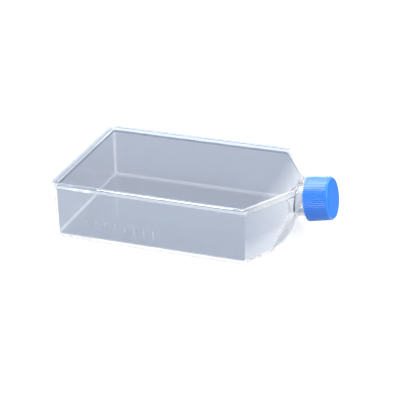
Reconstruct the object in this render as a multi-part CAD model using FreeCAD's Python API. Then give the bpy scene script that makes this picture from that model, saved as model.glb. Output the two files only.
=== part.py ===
"""Cell culture flask, 175 square centimetre class: a moulded tray with a canted neck, a welded lid
with a stacking rim, a ribbed screw cap and the plug seal inside it.

Millimetres. +X runs towards the cap, +Z is up, and the flask stands on Z = 0. Shapes are drawn with
X = 0 at the rear edge of the rim and are moved at the end, so that the origin is the bottom centre of
the whole flask.
"""
import FreeCAD, Part
import math
import os

os.makedirs("parts", exist_ok=True)

# Rim outline, seen from above
RIM_WIDTH = 120.0
SIDE_LENGTH = 153.0
SHOULDER_ANGLE = 60.0
NECK_MARGIN = 4.0
REAR_CORNER_RADIUS = 6.5
SHOULDER_CORNER_RADIUS = 5.0
FRONT_CORNER_RADIUS = 3.0

# Tray
WALL = 1.5
WALL_DRAFT = 0.7
WALL_CORNER_RADIUS = 3.0
RIM_OVERHANG = 1.5
CHAMBER_HEIGHT = 38.8
FLOOR_THICKNESS = 1.7
FOOT_HEIGHT = 1.5
FOOT_WIDTH = 1.4
FOOT_STEP = 0.3
BASE_STEP_HEIGHT = 2.8
FLANGE_THICKNESS = 1.0

# Lid
PANEL_THICKNESS = 1.2
RIM_THICKNESS = 1.6
RECESS_DEPTH = 2.4
SEAT_DEPTH = 0.6
SEAT_WIDTH = 2.0
LEAST_RADIUS = 0.5
RIM_CHAMFER = 0.4
TONGUE_DEPTH = 1.4
TONGUE_THICKNESS = 0.9
WELD_GAP = 0.1

# Neck; lengths run along its axis, from the plane of the rim's front edge
NECK_CANT = 10.0
NECK_DROP = 10.2
NECK_RADIUS = 12.7
NECK_LENGTH = 22.6
NECK_ROOT = 2.1
MOUTH_CHAMFER = 0.4
BORE_RADIUS = 10.2
BORE_DRAFT = 1.5
FLARE_ANGLE = 71.0
FLARE_SETBACK = 1.2
NECK_COLLAR = 0.5
NECK_COVE = 1.5

# Thread
THREAD_LEAD = 4.0
THREAD_HEIGHT = 1.0
THREAD_BASE = 2.2
THREAD_CREST = 1.0
THREAD_CLEARANCE = 0.35
THREAD_SINK = 0.2
NECK_THREAD_TURNS = 1.25
NECK_THREAD_SETBACK = 2.6
CAP_THREAD_TURNS = 0.6
CAP_THREAD_SETBACK = 7.4

# Cap
CAP_LENGTH = 19.0
CAP_WALL = 2.35
CAP_TOP = 1.8
CAP_DRAFT = 1.3
CAP_EDGE_RADIUS = 1.6
CAP_SHOULDER = 0.2
CAP_LEAD_IN = 0.6
RIB_COUNT = 72
RIB_DEPTH = 0.4
SEAL_BEAD = 0.5

# Flat bands that an eased edge of a turned part is made of
EDGE_BANDS = 3

# Plug seal
SEAL_THICKNESS = 1.2
SEAL_CLEARANCE = 0.3
PLUG_DEPTH = 3.0
PLUG_WALL = 1.2

vector = FreeCAD.Vector

# Heights above the ground
FLOOR_UNDERSIDE = FOOT_HEIGHT
FLOOR_TOP = FLOOR_UNDERSIDE + FLOOR_THICKNESS
SEAM = FLOOR_TOP + CHAMBER_HEIGHT
TRAY_TOP = SEAM - WELD_GAP
PANEL_TOP = SEAM + PANEL_THICKNESS
RIM_TOP = PANEL_TOP + RECESS_DEPTH

# Lengths along X, and slopes; the shoulders leave the rim a front edge with room for the neck
SHOULDER_SLOPE = math.tan(math.radians(SHOULDER_ANGLE))
SHOULDER_LENGTH = (RIM_WIDTH / 2 - NECK_RADIUS - NECK_MARGIN) / SHOULDER_SLOPE
RIM_LENGTH = SIDE_LENGTH + SHOULDER_LENGTH
SHOULDER_SPREAD = 1 / math.cos(math.radians(SHOULDER_ANGLE))
SHOULDER_MITRE = math.tan(math.radians(SHOULDER_ANGLE) / 2)
FLARE_SLOPE = math.tan(math.radians(FLARE_ANGLE))
FLARE_SPREAD = 1 / math.sin(math.radians(FLARE_ANGLE))

# Neck axis: it crosses the plane of the rim's front edge at NECK_DATUM
NECK_DATUM = vector(RIM_LENGTH, 0, SEAM - NECK_DROP)
NECK_AXIS = vector(math.cos(math.radians(NECK_CANT)), 0, math.sin(math.radians(NECK_CANT)))
FAR = RIM_LENGTH + RIM_WIDTH

# Cap, from the fit on the neck
CAP_BORE_RADIUS = NECK_RADIUS + THREAD_HEIGHT + THREAD_CLEARANCE
CAP_RADIUS = CAP_BORE_RADIUS + CAP_WALL + RIB_DEPTH
CAP_START = NECK_LENGTH + SEAL_THICKNESS + CAP_TOP - CAP_LENGTH
CAP_CORE_RADIUS = CAP_RADIUS - RIB_DEPTH - CAP_SHOULDER
CAP_DRUM_LENGTH = CAP_LENGTH - CAP_EDGE_RADIUS
CAP_FACE_RADIUS = CAP_CORE_RADIUS - CAP_DRUM_LENGTH * math.tan(math.radians(CAP_DRAFT))
SEAL_RADIUS = CAP_BORE_RADIUS - SEAL_CLEARANCE


def banded_arc(radius, along, rounding, first, last):
    """Corners of flat bands along an arc about (radius, along), from one angle to another."""
    corners = []
    for step in range(EDGE_BANDS + 1):
        angle = math.radians(first + (last - first) * step / EDGE_BANDS)
        corners.append((radius + rounding * math.cos(angle), along + rounding * math.sin(angle), 0))
    return corners


# Edge of the cap's end, whose lowest stretch is the foremost point of the flask
CAP_EDGE = banded_arc(CAP_FACE_RADIUS - CAP_EDGE_RADIUS, CAP_DRUM_LENGTH, CAP_EDGE_RADIUS, 0, 90)
CAP_REACH = max((CAP_START + along) * NECK_AXIS.x + radius * NECK_AXIS.z for radius, along, _ in CAP_EDGE)
OVERALL_LENGTH = RIM_LENGTH + CAP_REACH


def rounded_loop(corners, to_point):
    """Closed wire through (a, b, radius) corners, each rounded by an arc of that radius."""
    count = len(corners)
    entries = []
    for index, (a, b, radius) in enumerate(corners):
        here = vector(a, b, 0)
        before = vector(*corners[index - 1][:2], 0) - here
        after = vector(*corners[(index + 1) % count][:2], 0) - here
        before.normalize()
        after.normalize()
        half_angle = before.getAngle(after) / 2
        reach = radius / math.tan(half_angle)
        inward = before + after
        inward.normalize()
        middle = here + inward * (radius / math.sin(half_angle) - radius)
        entries.append((here + before * reach, middle, here + after * reach, radius))
    edges = []
    for index, (start, middle, end, radius) in enumerate(entries):
        if radius > 0:
            edges.append(Part.Arc(to_point(start), to_point(middle), to_point(end)).toShape())
        following = entries[(index + 1) % count][0]
        edges.append(Part.LineSegment(to_point(end), to_point(following)).toShape())
    return Part.Wire(edges)


def outline(inset, front, height, radii):
    """Flask outline at one height: square rear, straight sides and two shoulders up to the front."""
    side = RIM_WIDTH / 2 - inset
    turn = SIDE_LENGTH - inset * SHOULDER_MITRE
    tip = RIM_WIDTH / 2 - (front - SIDE_LENGTH) * SHOULDER_SLOPE - inset * SHOULDER_SPREAD
    rear_radius, shoulder_radius, front_radius = radii
    half = [(inset, side, rear_radius), (turn, side, shoulder_radius), (front, tip, front_radius)]
    mirrored = [(x, -y, radius) for x, y, radius in reversed(half)]
    return rounded_loop(half + mirrored, lambda p: vector(p.x, p.y, height))


def rim_prism(inset, low, high):
    """Upright prism of the rim's outline, with its corners rounded concentrically."""
    outer_radii = (REAR_CORNER_RADIUS, SHOULDER_CORNER_RADIUS, FRONT_CORNER_RADIUS)
    radii = [max(radius - inset, LEAST_RADIUS) for radius in outer_radii]
    face = Part.Face(outline(inset, RIM_LENGTH - inset, low, radii))
    return face.extrude(vector(0, 0, high - low))


def wall_inset(height):
    """Distance from the rim's outline to the outer face of the tray's wall."""
    return RIM_OVERHANG + (SEAM - height) * math.tan(math.radians(WALL_DRAFT))


def wall_prism(depth, low, high):
    """Drafted prism inside the tray's outer walls by a depth, running on past the flared front."""
    wires = []
    for height in (low, high):
        inset = wall_inset(height) + depth
        shoulder_reach = RIM_WIDTH / 2 - inset * SHOULDER_SPREAD - NECK_RADIUS / 2
        front = SIDE_LENGTH + shoulder_reach / SHOULDER_SLOPE
        rear_radius = WALL_CORNER_RADIUS - depth / 2
        radii = (rear_radius, SHOULDER_CORNER_RADIUS, 0)
        wires.append(outline(inset, front, height, radii))
    return Part.makeLoft(wires, True, True)


def laid_along(axis, shape):
    """Move a shape drawn about +Z so that it lies along an axis through the neck's datum."""
    turn = FreeCAD.Rotation(vector(0, 0, 1), axis)
    shape.Placement = FreeCAD.Placement(NECK_DATUM, turn).multiply(shape.Placement)
    return shape


def along_neck(shape):
    """Move a shape drawn about +Z onto the neck's axis."""
    return laid_along(NECK_AXIS, shape)


def turned(corners):
    """Solid of revolution about +Z from (radius, length, rounding) corners."""
    profile = rounded_loop(corners, lambda p: vector(p.x, 0, p.y))
    return Part.Face(profile).revolve(vector(0, 0, 0), vector(0, 0, 1), 360)


def front_cone(depth):
    """Everything behind the conical front wall, and behind its offset inwards by a depth."""
    tip = NECK_RADIUS / FLARE_SLOPE - FLARE_SETBACK - depth * FLARE_SPREAD
    cone = Part.makeCone(FAR * FLARE_SLOPE, 0, FAR, vector(0, 0, tip - FAR))
    return laid_along(vector(1, 0, 0), cone)


def chamber_form(depth, low, high):
    """The tray's outer form between two heights, offset inwards by a depth."""
    return wall_prism(depth, low, high).common(front_cone(depth))


def helical_ridge(root_radius, crest_radius, start, turns):
    """Right-handed thread ridge about +Z with a trapezoidal section, sunk a little into its root."""
    outwards = 1 if crest_radius > root_radius else -1
    foot = root_radius - outwards * THREAD_SINK
    half_base = THREAD_BASE / 2
    half_crest = THREAD_CREST / 2
    section = Part.makePolygon([
        vector(foot, 0, -half_base),
        vector(crest_radius, 0, -half_crest),
        vector(crest_radius, 0, half_crest),
        vector(foot, 0, half_base),
        vector(foot, 0, -half_base),
    ])
    spine = Part.makeHelix(THREAD_LEAD, THREAD_LEAD * turns, root_radius)
    ridge = Part.Wire(spine.Edges).makePipeShell([section], True, True)
    ridge.translate(vector(0, 0, start))
    return ridge


def neck_blank(clearance):
    """Canted neck without its bore, cut off upright where it roots in the front wall."""
    radius = NECK_RADIUS + clearance
    neck = turned([
        (0, -FAR, 0),
        (radius, -FAR, 0),
        (radius, NECK_LENGTH - MOUTH_CHAMFER, 0),
        (radius - MOUTH_CHAMFER, NECK_LENGTH, 0),
        (0, NECK_LENGTH, 0),
    ])
    corner = NECK_DATUM - vector(NECK_ROOT + clearance, FAR / 2, FAR / 2)
    return along_neck(neck).common(Part.makeBox(FAR, FAR, FAR, corner))


def neck_thread():
    """Thread on the neck, which ends a little behind the mouth."""
    end = NECK_LENGTH - NECK_THREAD_SETBACK
    start = end - THREAD_LEAD * NECK_THREAD_TURNS
    ridge = helical_ridge(NECK_RADIUS, NECK_RADIUS + THREAD_HEIGHT, start, NECK_THREAD_TURNS)
    return along_neck(ridge)


def coved_front():
    """Conical front wall that turns through a cove into a short collar round the neck's root."""
    radius = NECK_RADIUS + NECK_COLLAR
    root = NECK_RADIUS / FLARE_SLOPE - FLARE_SETBACK - radius / FLARE_SLOPE
    middle = root + NECK_COVE * math.tan(math.radians(FLARE_ANGLE) / 2)
    rear_corners = [(0, 0, 0), (0, -FAR, 0), (radius + (FAR + root) * FLARE_SLOPE, -FAR, 0)]
    cove = banded_arc(radius + NECK_COVE, middle, -NECK_COVE, FLARE_ANGLE, 0)
    form = turned(rear_corners + cove + [(radius, 0, 0)])
    return laid_along(vector(1, 0, 0), form)


def neck_bore():
    """Drafted bore through the neck, widest at its mouth."""
    start = -BORE_RADIUS
    mouth_radius = BORE_RADIUS + (NECK_LENGTH - start) * math.tan(math.radians(BORE_DRAFT))
    corners = [
        (0, start, 0),
        (BORE_RADIUS, start, 0),
        (mouth_radius, NECK_LENGTH, 0),
        (0, NECK_LENGTH, 0),
    ]
    return along_neck(turned(corners))


def make_tray():
    """Floor, drafted walls, conical front, foot ring and canted neck, moulded as one piece."""
    walls = wall_prism(0, BASE_STEP_HEIGHT, TRAY_TOP).common(coved_front())
    flange = rim_prism(0, TRAY_TOP - FLANGE_THICKNESS, TRAY_TOP)
    foot_block = chamber_form(FOOT_STEP, 0, BASE_STEP_HEIGHT)
    foot_hollow = chamber_form(FOOT_STEP + FOOT_WIDTH, 0, FLOOR_UNDERSIDE)
    chamber = chamber_form(WALL, FLOOR_TOP, SEAM)
    body = walls.fuse([flange, foot_block, neck_blank(0), neck_thread()])
    return body.cut([foot_hollow, chamber, neck_bore()]).removeSplitter()


def make_lid():
    """Recessed panel with an upstanding stacking rim, a locating tongue and an arch over the neck."""
    block = rim_prism(0, SEAM, RIM_TOP)
    top_edges = [edge for edge in block.Edges if edge.BoundBox.ZMin > PANEL_TOP]
    blank = block.makeChamfer(RIM_CHAMFER, top_edges)
    seat = rim_prism(RIM_THICKNESS, RIM_TOP - SEAT_DEPTH, RIM_TOP)
    recess = rim_prism(RIM_THICKNESS + SEAT_WIDTH, PANEL_TOP, RIM_TOP)
    tongue_low = SEAM - TONGUE_DEPTH
    tongue = chamber_form(WALL + WELD_GAP, tongue_low, SEAM)
    tongue_hollow = chamber_form(WALL + WELD_GAP + TONGUE_THICKNESS, tongue_low, SEAM)
    lid = blank.cut([seat, recess]).fuse(tongue.cut(tongue_hollow))
    return lid.cut([neck_blank(WELD_GAP), neck_bore()]).removeSplitter()


def ribbed_drum(radius, height):
    """Tapered drum on Z = 0 with axial ribs round it, each crest, flank and root a flat face."""
    taper = 1 - height * math.tan(math.radians(CAP_DRAFT)) / radius
    low = []
    high = []
    for index in range(4 * RIB_COUNT):
        angle = 2 * math.pi * index / (4 * RIB_COUNT)
        reach = radius if index % 4 < 2 else radius - RIB_DEPTH
        arm = vector(reach * math.cos(angle), reach * math.sin(angle), 0)
        low.append(arm)
        high.append(arm * taper + vector(0, 0, height))
    faces = [Part.Face(Part.makePolygon(ring + ring[:1])) for ring in (low, high)]
    for index in range(4 * RIB_COUNT):
        corners = [low[index - 1], low[index], high[index], high[index - 1]]
        faces.append(Part.Face(Part.makePolygon(corners + corners[:1])))
    return Part.Solid(Part.Shell(faces))


def make_cap():
    """Ribbed cap shell with an internal thread and a bead that holds the plug seal."""
    core = turned([(0, 0, 0), (CAP_CORE_RADIUS, 0, 0)] + CAP_EDGE + [(0, CAP_LENGTH, 0)])
    drum = ribbed_drum(CAP_RADIUS, CAP_DRUM_LENGTH)
    seat = CAP_LENGTH - CAP_TOP
    bead_low = seat - SEAL_THICKNESS - SEAL_CLEARANCE - 2 * SEAL_BEAD
    bead_high = bead_low + 2 * SEAL_BEAD
    bead_radius = CAP_BORE_RADIUS - SEAL_BEAD
    hollow = turned([
        (0, 0, 0),
        (CAP_BORE_RADIUS + CAP_LEAD_IN, 0, 0),
        (CAP_BORE_RADIUS, CAP_LEAD_IN, 0),
        (CAP_BORE_RADIUS, bead_low, 0),
        (bead_radius, bead_low + SEAL_BEAD, 0),
        (CAP_BORE_RADIUS, bead_high, 0),
        (CAP_BORE_RADIUS, seat, 0),
        (0, seat, 0),
    ])
    thread = helical_ridge(
        CAP_BORE_RADIUS, CAP_BORE_RADIUS - THREAD_HEIGHT, CAP_THREAD_SETBACK, CAP_THREAD_TURNS
    )
    cap = core.fuse(drum).cut(hollow).fuse(mesh_thread(thread))
    cap.translate(vector(0, 0, CAP_START))
    return along_neck(cap.removeSplitter())


def mesh_thread(thread):
    """Turn the cap's thread so that it lies midway between the turns of the neck's thread."""
    neck_start = NECK_LENGTH - NECK_THREAD_SETBACK - THREAD_LEAD * NECK_THREAD_TURNS
    cap_start = CAP_START + CAP_THREAD_SETBACK
    lag = (cap_start - neck_start) / THREAD_LEAD - 0.5
    thread.rotate(vector(0, 0, 0), vector(0, 0, 1), 360 * lag)
    return thread


def make_seal():
    """Soft plug seal: a disc on the mouth of the neck with a short plug ring in the bore."""
    bore_mouth = BORE_RADIUS + (NECK_LENGTH - PLUG_DEPTH) * math.tan(math.radians(BORE_DRAFT))
    plug_radius = bore_mouth - SEAL_CLEARANCE
    corners = [
        (0, NECK_LENGTH, 0),
        (plug_radius - PLUG_WALL, NECK_LENGTH, 0),
        (plug_radius - PLUG_WALL, NECK_LENGTH - PLUG_DEPTH, 0),
        (plug_radius, NECK_LENGTH - PLUG_DEPTH, 0),
        (plug_radius, NECK_LENGTH, 0),
        (SEAL_RADIUS, NECK_LENGTH, 0),
        (SEAL_RADIUS, NECK_LENGTH + SEAL_THICKNESS, 0),
        (0, NECK_LENGTH + SEAL_THICKNESS, 0),
    ]
    return along_neck(turned(corners))


def export(name, shape):
    """Write one piece, moved so that the origin is under the middle of the whole flask."""
    shape.translate(vector(-OVERALL_LENGTH / 2, 0, 0))
    shape.exportStep("parts/" + name + ".step")


export("flask_body", make_tray())
export("top_plate", make_lid())
export("screw_cap", make_cap())
export("plug_seal", make_seal())
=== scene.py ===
import math

import bpy
from mathutils import Matrix, Vector
from mathutils.bvhtree import BVHTree


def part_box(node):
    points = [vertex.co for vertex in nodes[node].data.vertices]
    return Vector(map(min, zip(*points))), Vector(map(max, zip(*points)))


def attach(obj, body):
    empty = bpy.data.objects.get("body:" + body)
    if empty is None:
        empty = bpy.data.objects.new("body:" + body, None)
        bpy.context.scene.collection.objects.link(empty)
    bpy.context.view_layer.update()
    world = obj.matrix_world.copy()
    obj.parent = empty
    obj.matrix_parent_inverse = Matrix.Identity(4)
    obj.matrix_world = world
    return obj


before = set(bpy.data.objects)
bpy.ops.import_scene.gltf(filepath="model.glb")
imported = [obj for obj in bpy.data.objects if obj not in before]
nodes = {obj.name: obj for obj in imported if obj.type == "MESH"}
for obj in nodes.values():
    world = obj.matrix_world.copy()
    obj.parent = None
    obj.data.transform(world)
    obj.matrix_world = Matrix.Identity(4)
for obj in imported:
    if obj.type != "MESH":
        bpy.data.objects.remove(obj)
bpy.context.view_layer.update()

scene = bpy.context.scene
MM = 0.001

# Camera: where it stands, in millimetres from the flask's origin, and how it is turned, in degrees
CAMERA_PLACE = (334.2, -939.9, 493.1)
CAMERA_YAW = -19.411
CAMERA_PITCH = 25.784
CAMERA_ROLL = -0.500
SENSOR = 36.0
LENS = 123.3

# Lamps: place, width, direction and length of the long side in metres, power in watts
SOFTBOX = {"place": (-0.42, 0.36, 1.10), "width": 0.18, "along": (0, 1, 0), "length": 1.75,
           "power": 24.0}
FILL = {"place": (0.90, -0.50, 0.72), "width": 0.6, "along": (0, 0, 1), "length": 0.6,
        "power": 9.5}

# Most bounces of a ray, because light crosses many faces of clear plastic
LIGHT_BOUNCES = 128

# World and floor: strength of the light on the flask, strength of what is seen, floor in metres
AMBIENT = 0.3
BACKGROUND = 1.0
FLOOR_SIZE = 8.0
FLOOR_COLOUR = (0.40, 0.402, 0.406, 1.0)
FLOOR_GLOW = 0.75
GLOW_NEAR = 0.6
GLOW_FAR = 2.0

# Graduation marks on the -y side: a row of short raised uprights that grow longer towards the
# neck, in millimetres. The row starts in front of the rim's rear edge. The first and the last
# mark each have the height of their foot and of their top.
MARK_COUNT = 8
MARK_START = 28.2
MARK_PITCH = 7.64
MARK_WIDTH = 1.2
MARK_RISE = 0.15
MARK_ROOT = 0.05
FIRST_MARK = (14.8, 19.2)
LAST_MARK = (9.6, 17.2)

# Colours of the plastics, linear. The lid's and the tray's blue-grey tones are painted: they stand
# in for a blue-grey backdrop seen through the clear plastic, and the tray's floor and shoulders are
# painted paler as painted light. The paler rim, the near-white front and WHITE on the tray's edges
# are painted light.
WHITE = (1.0, 1.0, 1.0, 1.0)
LID_PAINTED_TONE = (0.425, 0.467, 0.55, 1.0)
RIM_PAINTED_HIGHLIGHT = (0.68, 0.75, 0.84, 1.0)
WALL_PAINTED_TONE = (0.580, 0.620, 0.685, 1.0)
FLOOR_PAINTED_TONE = (0.79, 0.84, 0.92, 1.0)
SHOULDER_PAINTED_TONE = (0.65, 0.69, 0.755, 1.0)
FRONT_PAINTED_LIGHT = (0.97, 0.98, 1.0, 1.0)
CAP_BLUE = (0.020, 0.27, 1.0, 1.0)
CAP_DEEP = (0.016, 0.24, 0.96, 1.0)
SEAL_GREY = (0.80, 0.83, 0.85, 1.0)
SEAL_WHITE = (0.88, 0.9, 0.91, 1.0)
MARK_GREY = (0.68, 0.76, 0.88, 1.0)
MARK_WHITE = (0.76, 0.84, 0.95, 1.0)

# Finish of the plastics: each roughness goes from smoothest to roughest, each pair for the cap is
# what its ribs have and what its end has
POLYSTYRENE_IOR = 1.59
CLEAR_ROUGHNESS = (0.015, 0.06)
MARK_ROUGHNESS = (0.35, 0.5)
SEAL_ROUGHNESS = (0.4, 0.55)
CAP_ROUGHNESS = (0.37, 0.41)
CAP_END_ROUGHER = 0.1
CAP_SPECULAR = (0.6, 0.1)
CAP_COAT = (0.8, 0.0)
CAP_COAT_ROUGHNESS = 0.42
# How strongly a frosting whitens the lid's rim at the shoulders, as a painted highlight
RIM_HIGHLIGHT_FROST = 0.35

# Parts of a noise's range that a change is spread over
NOISE_MIDDLE = (0.3, 0.7)
NOISE_CLOUDS = (0.35, 0.65)
NOISE_SCUFFS = (0.45, 0.8)

# Where a finish or its painted light changes, in millimetres: where the change starts and where it
# is complete. The lid's rim and the tray's edges carry painted highlights, the shoulders' foot
# painted light
LONG_RIM = (3.4, 3.8)         # lid's rim at sides and shoulders, inwards from its outline
REAR_RIM = (1.6, 2.0)         # lid's rim at the rear, inwards from its outline
WALLS = (3.6, 5.4)            # tray's walls, inwards from the rim's outline
FLOOR = (3.4, 4.4)            # tray's floor, upwards from its underside
FLANGE = (-1.2, -0.9)         # tray's flange, upwards from the seam
CAP_END_FACE = (-0.6, -0.2)   # cap's end, outwards from its furthest point
SHOULDER_FOOT = (21.0, 2.0)   # shoulders' walls, downwards
# How much painted light pales the shoulders' walls at their foot
FOOT_PAINTED_LIGHT = 1.5

# The same, forwards from where the shoulders start: where the plastics are painted paler towards
# the neck as painted light, and where the rim's frosting, a painted highlight, comes in
PANEL_PAINTED_LIGHT_SPAN = (2.0, 32.0)
RIM_PAINTED_LIGHT_SPAN = (-8.0, 8.0)
RIM_HIGHLIGHT_FROSTS = (-4.0, 8.0)
FLOOR_PAINTED_LIGHT_SPAN = (0.0, 12.0)
SHOULDER_PAINTED_LIGHT_SPAN = (0.0, 22.0)

# The same for the way a surface faces: forwards, and straight out from a shoulder. The rim's
# highlight frosting stays off faces turned backwards, which lie in shade; the shoulders' painted
# tone goes on faces straight out from a shoulder
NOT_BACKWARDS = (-0.6, -0.3)
FROM_SHOULDER = (0.93, 0.98)

# The flask's own shape
RIM_LOW, RIM_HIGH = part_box("top_plate")
RIM_ABOVE_SEAM = 3.6 * MM
SEAM = RIM_HIGH.z - RIM_ABOVE_SEAM
SHOULDER_ANGLE = math.radians(60.0)
SHOULDER_NORMAL = (math.sin(SHOULDER_ANGLE), math.cos(SHOULDER_ANGLE))
SHOULDER_OFFSET = max(
    vertex.co.x * SHOULDER_NORMAL[0] + abs(vertex.co.y) * SHOULDER_NORMAL[1]
    for vertex in nodes["top_plate"].data.vertices
)
SHOULDER_START = (SHOULDER_OFFSET - RIM_HIGH.y * SHOULDER_NORMAL[1]) / SHOULDER_NORMAL[0]
NECK_CANT = math.radians(10.0)
NECK_AXIS = Vector((math.cos(NECK_CANT), 0.0, math.sin(NECK_CANT)))
CAP_END = max(vertex.co.dot(NECK_AXIS) for vertex in nodes["screw_cap"].data.vertices)

# Numbers of a Mix node's sockets for colours, because its other sockets have the same names
MIX_FIRST, MIX_SECOND, MIX_RESULT = 6, 7, 2


class Shader:
    """The node tree of a material or the world, with short calls to add and join nodes."""

    def __init__(self, owner, output="ShaderNodeOutputMaterial"):
        owner.use_nodes = True
        self.owner = owner
        self.tree = owner.node_tree
        self.tree.nodes.clear()
        self.output = self.add(output)

    def add(self, kind, **settings):
        node = self.tree.nodes.new(kind)
        for key, value in settings.items():
            setattr(node, key, value)
        return node

    def feed(self, socket, value):
        """Join another node's output to a socket, or set the socket to a plain value."""
        if isinstance(value, bpy.types.NodeSocket):
            self.tree.links.new(value, socket)
        else:
            socket.default_value = value

    def surface(self, node):
        """Make a node what the surface shows."""
        self.feed(self.output.inputs["Surface"], node.outputs[0])

    def math(self, operation, *values):
        node = self.add("ShaderNodeMath", operation=operation)
        for socket, value in zip(node.inputs, values):
            self.feed(socket, value)
        return node.outputs[0]

    def most(self, first, *others):
        for other in others:
            first = self.math("MAXIMUM", first, other)
        return first

    def mix(self, factor, first, second):
        node = self.add("ShaderNodeMix", data_type="RGBA")
        self.feed(node.inputs["Factor"], factor)
        self.feed(node.inputs[MIX_FIRST], first)
        self.feed(node.inputs[MIX_SECOND], second)
        return node.outputs[MIX_RESULT]

    def span(self, value, low, high, to_low=0.0, to_high=1.0):
        """Carry a value from one range over to another, staying inside that one."""
        node = self.add("ShaderNodeMapRange", clamp=True)
        for key, amount in zip(("Value", "From Min", "From Max", "To Min", "To Max"),
                               (value, low, high, to_low, to_high)):
            self.feed(node.inputs[key], amount)
        return node.outputs[0]

    def after(self, length, places, start=0.0):
        """0 to 1 as a length in metres crosses two places in millimetres from a start."""
        return self.span(length, start + places[0] * MM, start + places[1] * MM)

    def before(self, length, places):
        """1 to 0 as a length in metres crosses two places in millimetres."""
        return self.span(length, places[0] * MM, places[1] * MM, 1.0, 0.0)

    def coordinates(self, kind):
        """The point's place ("Object") or its surface's direction ("Normal") in its own object."""
        return self.add("ShaderNodeTexCoord").outputs[kind]

    def parts(self, vector):
        """The parts of a vector along, across and above the flask."""
        node = self.add("ShaderNodeSeparateXYZ")
        self.feed(node.inputs[0], vector)
        return node.outputs

    def noise(self, scale, detail):
        node = self.add("ShaderNodeTexNoise")
        self.feed(node.inputs["Vector"], self.coordinates("Object"))
        self.feed(node.inputs["Scale"], scale)
        self.feed(node.inputs["Detail"], detail)
        return node.outputs["Fac"]

    def bump(self, height, strength, distance):
        node = self.add("ShaderNodeBump")
        self.feed(node.inputs["Height"], height)
        self.feed(node.inputs["Strength"], strength)
        self.feed(node.inputs["Distance"], distance)
        return node.outputs[0]

    def seen_rays(self):
        """1 for camera, glossy and transmission rays, otherwise 0."""
        rays = self.add("ShaderNodeLightPath").outputs
        return self.most(rays["Is Camera Ray"], rays["Is Glossy Ray"], rays["Is Transmission Ray"])

    def principled(self, **sockets):
        node = self.add("ShaderNodeBsdfPrincipled")
        for key, value in sockets.items():
            self.feed(node.inputs[key.replace("_", " ")], value)
        self.surface(node)
        return self.owner


def material_shader(name):
    return Shader(bpy.data.materials.new(name))


def towards_shoulder(shader, along, across):
    """How far a place or direction reaches towards the nearer shoulder."""
    sideways = shader.math("MULTIPLY", across, SHOULDER_NORMAL[1])
    return shader.math("MULTIPLY_ADD", along, SHOULDER_NORMAL[0], sideways)


def outline_distances(shader):
    """Distances inwards from the rim's rear edge, its long sides and its shoulders.

    The place along the flask and the height follow them.
    """
    along, across, height = shader.parts(shader.coordinates("Object"))
    across = shader.math("ABSOLUTE", across)
    rear = shader.math("SUBTRACT", along, RIM_LOW.x)
    side = shader.math("SUBTRACT", RIM_HIGH.y, across)
    shoulder = shader.math("SUBTRACT", SHOULDER_OFFSET, towards_shoulder(shader, along, across))
    return rear, side, shoulder, along, height


def facing_shoulder(shader):
    """1 on the surfaces that run along the shoulders."""
    along, across, _ = shader.parts(shader.coordinates("Normal"))
    lean = towards_shoulder(shader, shader.math("ABSOLUTE", along), shader.math("ABSOLUTE", across))
    return shader.span(lean, *FROM_SHOULDER)


def clear_plastic(shader, colour, clearness=1.0):
    """Clear polystyrene in a colour, with faint scuffs and the long ripples of moulding."""
    scuffs = shader.noise(scale=180.0, detail=4.0)
    ripple = shader.noise(scale=22.0, detail=1.0)
    return shader.principled(
        Base_Color=colour,
        Roughness=shader.span(scuffs, *NOISE_SCUFFS, *CLEAR_ROUGHNESS),
        IOR=POLYSTYRENE_IOR,
        Transmission_Weight=clearness,
        Normal=shader.bump(ripple, strength=0.12, distance=0.4 * MM),
    )


def lid_plastic():
    """The lid's panel in painted blue-grey, clearing towards the neck as painted light, with a
    paler rim as a painted highlight.

    At the shoulders the rim is clear, with a light frosting on its top and outside as a painted
    highlight.
    """
    shader = material_shader("lid_polystyrene")
    rear, side, shoulder, along, _ = outline_distances(shader)
    long_rim = shader.before(shader.math("MINIMUM", side, shoulder), LONG_RIM)
    rim = shader.most(long_rim, shader.before(rear, REAR_RIM))
    # Painted light: the panel and the rim pale to nearly white towards the neck, and the rim is
    # paler still as a painted highlight
    panel = shader.mix(shader.after(along, PANEL_PAINTED_LIGHT_SPAN, SHOULDER_START), LID_PAINTED_TONE, FRONT_PAINTED_LIGHT)
    rims = shader.mix(shader.after(along, RIM_PAINTED_LIGHT_SPAN, SHOULDER_START), RIM_PAINTED_HIGHLIGHT, FRONT_PAINTED_LIGHT)
    # A frosting whitens the rim's top and outside at the shoulders as a painted highlight
    facing_along = shader.parts(shader.coordinates("Normal"))[0]
    at_shoulder = shader.after(along, RIM_HIGHLIGHT_FROSTS, SHOULDER_START)
    highlight_frost = shader.math("MULTIPLY", shader.math("MULTIPLY", rim, at_shoulder),
                        shader.span(facing_along, *NOT_BACKWARDS))
    clearness = shader.math("MULTIPLY_ADD", highlight_frost, -RIM_HIGHLIGHT_FROST, 1.0)
    return clear_plastic(shader, shader.mix(rim, panel, rims), clearness)


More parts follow.
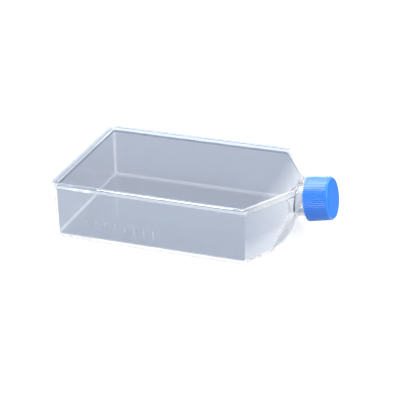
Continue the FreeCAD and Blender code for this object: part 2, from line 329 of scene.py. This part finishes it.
def tray_plastic():
    """The tray's walls and floor in painted blue-grey, clear along their edges as a painted
    highlight, painted paler at the front and at the shoulders' foot.
    """
    shader = material_shader("tray_polystyrene")
    rear, side, shoulder, along, height = outline_distances(shader)
    at_rear, at_side, at_shoulder = [shader.before(distance, WALLS)
                                     for distance in (rear, side, shoulder)]
    on_floor = shader.before(height, FLOOR)
    foot = shader.math("MULTIPLY", shader.most(at_rear, at_side, at_shoulder), on_floor)
    upright = shader.math("MULTIPLY", at_rear, at_side)
    # The edges, uprights and flange are mixed to clear white as a painted highlight
    edge = shader.most(foot, upright, shader.after(height, FLANGE, SEAM))
    # The shoulders are painted paler at the front and towards their foot, as painted light
    low = shader.span(height, SHOULDER_FOOT[0] * MM, SHOULDER_FOOT[1] * MM, 0.0, FOOT_PAINTED_LIGHT)
    pale = shader.math("ADD", shader.after(along, SHOULDER_PAINTED_LIGHT_SPAN, SHOULDER_START), low)
    shoulders = shader.mix(pale, SHOULDER_PAINTED_TONE, FRONT_PAINTED_LIGHT)
    walls = shader.mix(facing_shoulder(shader), WALL_PAINTED_TONE, shoulders)
    floor = shader.mix(shader.after(along, FLOOR_PAINTED_LIGHT_SPAN, SHOULDER_START), FLOOR_PAINTED_TONE, FRONT_PAINTED_LIGHT)
    panels = shader.mix(on_floor, walls, floor)
    return clear_plastic(shader, shader.mix(edge, panels, WHITE))


def blue_plastic():
    """Blue polyethylene: satin ribs, a finely textured matt end, slightly uneven colour."""
    shader = material_shader("cap_blue_polyethylene")
    cloud = shader.noise(scale=60.0, detail=3.0)
    grain = shader.noise(scale=900.0, detail=2.0)
    place = shader.add("ShaderNodeVectorMath", operation="DOT_PRODUCT")
    shader.feed(place.inputs[0], shader.coordinates("Object"))
    shader.feed(place.inputs[1], NECK_AXIS)
    end = shader.after(place.outputs["Value"], CAP_END_FACE, CAP_END)
    roughness = shader.span(cloud, *NOISE_MIDDLE, *CAP_ROUGHNESS)
    return shader.principled(
        Base_Color=shader.mix(shader.span(cloud, *NOISE_CLOUDS), CAP_DEEP, CAP_BLUE),
        Roughness=shader.math("MULTIPLY_ADD", end, CAP_END_ROUGHER, roughness),
        Specular_IOR_Level=shader.span(end, 0.0, 1.0, *CAP_SPECULAR),
        Coat_Weight=shader.span(end, 0.0, 1.0, *CAP_COAT),
        Coat_Roughness=CAP_COAT_ROUGHNESS,
        Normal=shader.bump(grain, strength=0.08, distance=0.1 * MM),
    )


def seal_plastic():
    """Soft natural polyethylene."""
    shader = material_shader("seal_polyethylene")
    grain = shader.noise(scale=400.0, detail=2.0)
    return shader.principled(
        Base_Color=shader.mix(shader.span(grain, *NOISE_MIDDLE), SEAL_GREY, SEAL_WHITE),
        Roughness=shader.span(grain, *NOISE_MIDDLE, *SEAL_ROUGHNESS),
        Normal=shader.bump(grain, strength=0.06, distance=0.1 * MM),
    )


def frosted_plastic():
    """The tray's plastic with the fine frosting of a raised mark."""
    shader = material_shader("frosted_polystyrene")
    grain = shader.noise(scale=2500.0, detail=2.0)
    return shader.principled(
        Base_Color=shader.mix(shader.span(grain, *NOISE_MIDDLE), MARK_GREY, MARK_WHITE),
        Roughness=shader.span(grain, *NOISE_MIDDLE, *MARK_ROUGHNESS),
        IOR=POLYSTYRENE_IOR,
        Normal=shader.bump(grain, strength=0.3, distance=0.05 * MM),
    )


def dress(node, material):
    """Give a CAD node one material in all its slots."""
    slots = nodes[node].data.materials
    if len(slots) == 0:
        slots.append(material)
    for index in range(len(slots)):
        slots[index] = material


def make_object(name, data):
    thing = bpy.data.objects.new(name, data)
    scene.collection.objects.link(thing)
    return thing


def make_mesh(name, vertices, faces, material):
    mesh = bpy.data.meshes.new(name)
    mesh.from_pydata(vertices, [], faces)
    mesh.materials.append(material)
    return make_object(name, mesh)


def make_graduations():
    """The row of raised marks, each a slim block laid on the slope of the tray's side."""
    tray = BVHTree.FromObject(nodes["flask_body"], bpy.context.evaluated_depsgraph_get())
    inwards = Vector((0, 1, 0))
    outside = 2 * RIM_LOW.y
    half = MARK_WIDTH / 2 * MM
    vertices, faces = [], []
    for index in range(MARK_COUNT):
        middle = RIM_LOW.x + (MARK_START + index * MARK_PITCH) * MM
        share = index / (MARK_COUNT - 1)
        first = len(vertices)
        for at_first, at_last in zip(FIRST_MARK, LAST_MARK):
            height = (at_first + (at_last - at_first) * share) * MM
            wall = tray.ray_cast(Vector((middle, outside, height)), inwards)[0].y
            front, back = wall - MARK_RISE * MM, wall + MARK_ROOT * MM
            vertices += [(middle - half, front, height), (middle + half, front, height),
                         (middle + half, back, height), (middle - half, back, height)]
        for corners in ((0, 1, 5, 4), (1, 2, 6, 5), (2, 3, 7, 6), (3, 0, 4, 7),
                        (4, 5, 6, 7), (3, 2, 1, 0)):
            faces.append([first + corner for corner in corners])
    marks = make_mesh("graduations", vertices, faces, frosted_plastic())
    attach(marks, "flask")


def make_world():
    """White to the camera and in glass, a plain level of light on the flask."""
    scene.world = bpy.data.worlds.new("studio")
    shader = Shader(scene.world, "ShaderNodeOutputWorld")
    background = shader.add("ShaderNodeBackground")
    shader.feed(background.inputs["Color"], WHITE)
    shader.feed(background.inputs["Strength"],
                shader.span(shader.seen_rays(), 0.0, 1.0, AMBIENT, BACKGROUND))
    shader.surface(background)


def make_floor():
    """Pale floor that looks white to the camera and in glass, and keeps the flask's shadow.

    Away from the lamps its own glow makes up for their light, so that it meets the background.
    """
    shader = material_shader("floor")
    diffuse = shader.add("ShaderNodeBsdfDiffuse")
    shader.feed(diffuse.inputs["Color"], FLOOR_COLOUR)
    reach = shader.add("ShaderNodeVectorMath", operation="LENGTH")
    shader.feed(reach.inputs[0], shader.coordinates("Object"))
    level = shader.span(reach.outputs["Value"], GLOW_NEAR, GLOW_FAR, FLOOR_GLOW, BACKGROUND)
    glow = shader.add("ShaderNodeEmission")
    shader.feed(glow.inputs["Strength"], shader.math("MULTIPLY", shader.seen_rays(), level))
    both = shader.add("ShaderNodeAddShader")
    shader.feed(both.inputs[0], diffuse.outputs[0])
    shader.feed(both.inputs[1], glow.outputs[0])
    shader.surface(both)
    half = FLOOR_SIZE / 2
    corners = [(-half, -half, 0), (half, -half, 0), (half, half, 0), (-half, half, 0)]
    floor = make_mesh("floor", corners, [(0, 1, 2, 3)], shader.owner)


def make_lamp(name, place, width, along, length, power):
    """Soft lamp that faces the flask's origin, its long side turned towards a direction."""
    lamp = bpy.data.lights.new(name, "AREA")
    lamp.shape = "RECTANGLE"
    lamp.size = width
    lamp.size_y = length
    lamp.energy = power
    back = Vector(place).normalized()
    side = Vector(along).cross(back).normalized()
    up = back.cross(side)
    holder = make_object(name, lamp)
    holder.location = place
    holder.rotation_euler = Matrix((side, up, back)).transposed().to_euler()


def make_camera():
    yaw = math.radians(CAMERA_YAW)
    pitch = math.radians(CAMERA_PITCH)
    roll = math.radians(CAMERA_ROLL)
    ahead = Vector((math.sin(yaw) * math.cos(pitch), math.cos(yaw) * math.cos(pitch),
                    -math.sin(pitch)))
    level_right = Vector((math.cos(yaw), -math.sin(yaw), 0))
    level_up = level_right.cross(ahead)
    right = level_right * math.cos(roll) + level_up * math.sin(roll)
    up = level_up * math.cos(roll) - level_right * math.sin(roll)
    camera = bpy.data.cameras.new("camera")
    camera.lens = LENS
    camera.sensor_width = SENSOR
    holder = make_object("camera", camera)
    turn = Matrix((right, up, -ahead)).transposed().to_4x4()
    holder.matrix_world = Matrix.Translation(Vector(CAMERA_PLACE) * MM) @ turn
    scene.camera = holder


make_camera()
make_world()
make_floor()
make_lamp("softbox", **SOFTBOX)
make_lamp("fill", **FILL)

dress("flask_body", tray_plastic())
dress("top_plate", lid_plastic())
dress("screw_cap", blue_plastic())
dress("plug_seal", seal_plastic())
make_graduations()

scene.view_settings.view_transform = "Standard"
scene.cycles.max_bounces = LIGHT_BOUNCES
scene.cycles.transmission_bounces = LIGHT_BOUNCES
scene.cycles.glossy_bounces = LIGHT_BOUNCES
